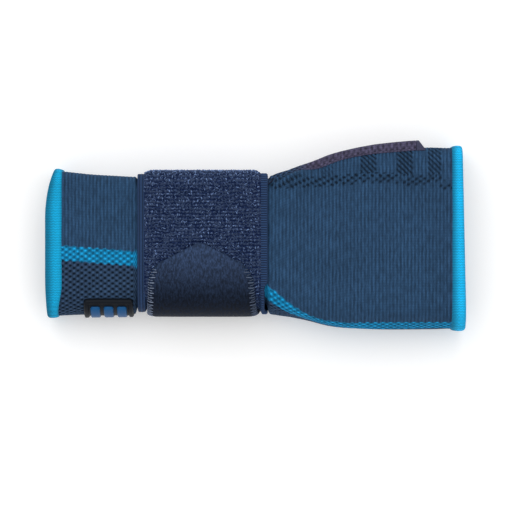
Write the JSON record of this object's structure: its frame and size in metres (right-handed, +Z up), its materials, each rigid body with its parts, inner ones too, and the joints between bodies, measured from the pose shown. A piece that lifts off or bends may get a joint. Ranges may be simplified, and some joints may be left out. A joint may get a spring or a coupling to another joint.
{
  "type": "wrist splint",
  "caption": "Knitted elastic wrist sleeve with a palm splint in a side pocket, stretch hems, a thumb hole, and a hook and loop strap round the wrist.",
  "frame": {"origin": "on the table, under the middle of the model's box, the splint lying on its thumb side", "axes": "+X along the arm towards the fingers, +Y towards the palm side, +Z up towards the little-finger side"},
  "size_m": [0.21, 0.0945, 0.0436],
  "materials": {
    "knit": "elastic flat knit with fine ribs, stripes and a mesh zone",
    "hem": "bright blue elastic knit",
    "pocket": "dense dark knit",
    "splint": "brushed sheet",
    "splint_cap": "soft dipped plastic",
    "badge": "moulded satin rubber",
    "badge_bar": "moulded satin rubber",
    "strap_web": "ribbed elastic web",
    "strap_pile": "napped loop pile",
    "strap_outer": "smooth laminated strap with stitched edges",
    "hook": "woven hook tape"
  },
  "bodies": {
    "brace": {"sleeve_knit": "knit", "forearm_hem": "hem", "hand_hem": "hem", "thumb_hole_binding": "hem", "palmar_splint": "splint", "splint_cap_forearm": "splint_cap", "splint_cap_hand": "splint_cap", "splint_pocket_cover": "pocket", "pocket_mouth_tape": "pocket", "badge_base": "badge", "badge_bars": "badge_bar", "strap_band": "strap_web", "strap_loop_pile": "strap_pile", "strap_anchor_patch": "strap_web", "strap_return_band": "strap_outer"},
    "strap_side": {"strap_side_band": "strap_outer"},
    "strap_tab": {"strap_tab_cover": "strap_outer", "strap_hook_patch": "hook"}
  },
  "joints": [
    {"name": "strap_swing", "type": "hinge", "parent": "brace", "child": "strap_side", "pos_m": [-0.0256, -0.03893, 0.0218], "axis": [1, 0, 0], "range_deg": [0, 100]},
    {"name": "tab_peel", "type": "hinge", "parent": "strap_side", "child": "strap_tab", "pos_m": [-0.0256, -0.02614, 0.04105], "axis": [1, 0, 0], "range_deg": [0, 75]}
  ]
}
